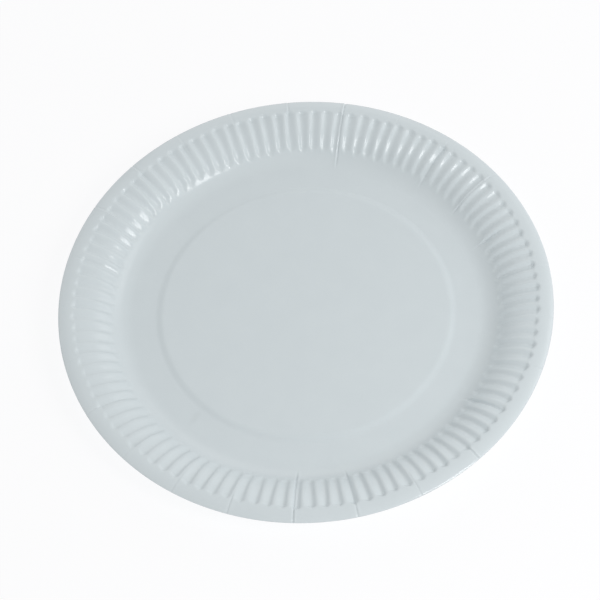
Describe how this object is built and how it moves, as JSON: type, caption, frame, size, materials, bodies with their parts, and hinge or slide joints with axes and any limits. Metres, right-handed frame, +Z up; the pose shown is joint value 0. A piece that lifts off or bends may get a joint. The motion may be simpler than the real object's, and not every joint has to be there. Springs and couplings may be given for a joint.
{
  "type": "paper plate",
  "caption": "Round disposable paper plate with a raised flat middle, a shallow foot ring, a wall pressed into fine radial flutes and a flange turned down at its rim.",
  "frame": {"origin": "middle of the plate's underside, at the level of the table it stands on", "axes": "+Z up along the plate's axis, +X to the right in the picture, +Y away from the viewer"},
  "size_m": [0.23, 0.23, 0.0132],
  "materials": {
    "board": "coated white paperboard with a faint sheen"
  },
  "bodies": {
    "root": {"plate": "board"}
  },
  "joints": []
}
